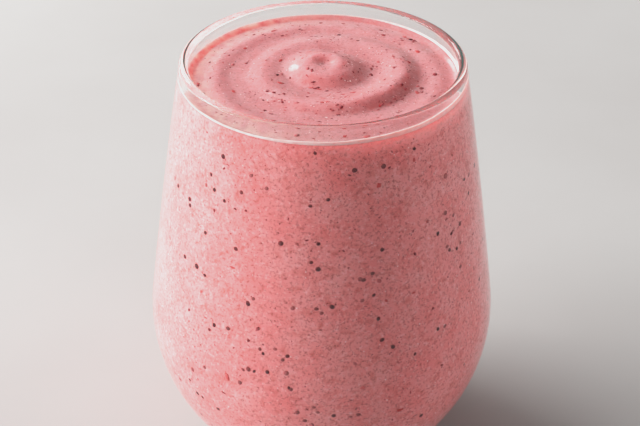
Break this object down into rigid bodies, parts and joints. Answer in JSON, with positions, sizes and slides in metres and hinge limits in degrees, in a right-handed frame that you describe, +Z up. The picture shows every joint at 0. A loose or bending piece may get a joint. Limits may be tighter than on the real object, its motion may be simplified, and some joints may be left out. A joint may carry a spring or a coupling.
{
  "type": "berry smoothie in a stemless glass",
  "caption": "Stemless glass tumbler with a round belly, filled nearly to the lip with a thick pink berry smoothie whose top is swirled.",
  "frame": {"origin": "centre of the foot, on the surface that the glass stands on", "axes": "+Z up along the glass's axis, -Y towards the drinker"},
  "size_m": [0.0866, 0.0866, 0.105],
  "materials": {
    "clear_glass": "clear, smooth and glossy",
    "berry_smoothie": "thick, opaque and moist, with a fine grain of pulp"
  },
  "bodies": {
    "root": {"glass": "clear_glass", "smoothie": "berry_smoothie"}
  },
  "joints": []
}
